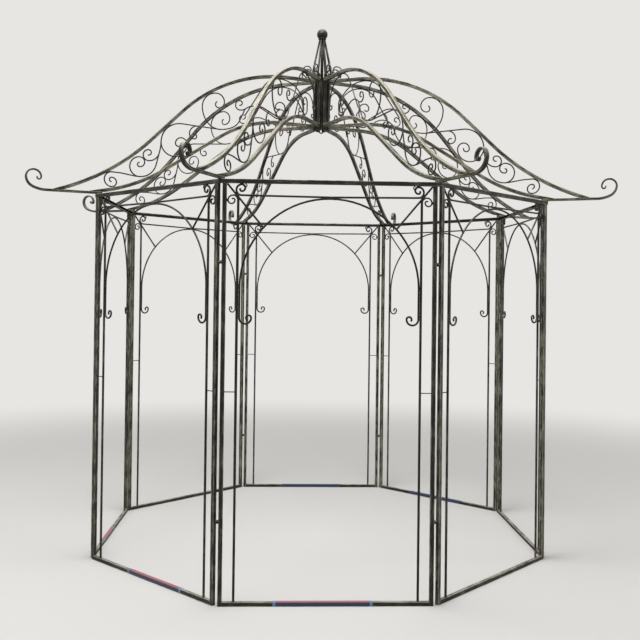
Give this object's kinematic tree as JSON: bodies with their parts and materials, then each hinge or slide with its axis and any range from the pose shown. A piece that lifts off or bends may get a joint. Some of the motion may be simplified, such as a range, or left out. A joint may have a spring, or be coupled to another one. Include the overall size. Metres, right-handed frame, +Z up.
{
  "type": "garden gazebo frame",
  "caption": "Open octagonal wrought-iron garden gazebo: arched scrollwork panels under curved, scrolled roof ribs that meet at a hub with a ball finial.",
  "frame": {"origin": "on the floor at the middle of the octagon", "axes": "+Z up through the finial, front panel facing -Y, +X to the right seen from the front"},
  "size_m": [3.2112, 3.2112, 3.0975],
  "materials": {
    "frame_iron": "dark brown-black paint with dry-brushed pewter highlights, satin",
    "scroll_iron": "dark brown-black paint with worn pewter edges, satin",
    "tape": "thin wrapped tape, creased"
  },
  "bodies": {
    "root": {"back_arch": "scroll_iron", "back_left_arch": "scroll_iron", "back_left_posts": "frame_iron", "back_left_rib": "frame_iron", "back_left_rib_scrolls": "scroll_iron", "back_left_scrolls": "scroll_iron", "back_posts": "frame_iron", "back_right_arch": "scroll_iron", "back_right_posts": "frame_iron", "back_right_rib": "frame_iron", "back_right_rib_scrolls": "scroll_iron", "back_right_scrolls": "scroll_iron", "back_scrolls": "scroll_iron", "bottom_rails": "frame_iron", "corner_bolts": "frame_iron", "finial_ball": "scroll_iron", "finial_rods": "scroll_iron", "front_arch": "scroll_iron", "front_left_arch": "scroll_iron", "front_left_posts": "frame_iron", "front_left_rib": "frame_iron", "front_left_rib_scrolls": "scroll_iron", "front_left_scrolls": "scroll_iron", "front_posts": "frame_iron", "front_right_arch": "scroll_iron", "front_right_posts": "frame_iron", "front_right_rib": "frame_iron", "front_right_rib_scrolls": "scroll_iron", "front_right_scrolls": "scroll_iron", "front_scrolls": "scroll_iron", "hub_core": "frame_iron", "left_arch": "scroll_iron", "left_back_rib": "frame_iron", "left_back_rib_scrolls": "scroll_iron", "left_front_rib": "frame_iron", "left_front_rib_scrolls": "scroll_iron", "left_posts": "frame_iron", "left_scrolls": "scroll_iron", "rail_wraps": "tape", "right_arch": "scroll_iron", "right_back_rib": "frame_iron", "right_back_rib_scrolls": "scroll_iron", "right_front_rib": "frame_iron", "right_front_rib_scrolls": "scroll_iron", "right_posts": "frame_iron", "right_scrolls": "scroll_iron", "top_rails": "frame_iron"}
  },
  "joints": []
}
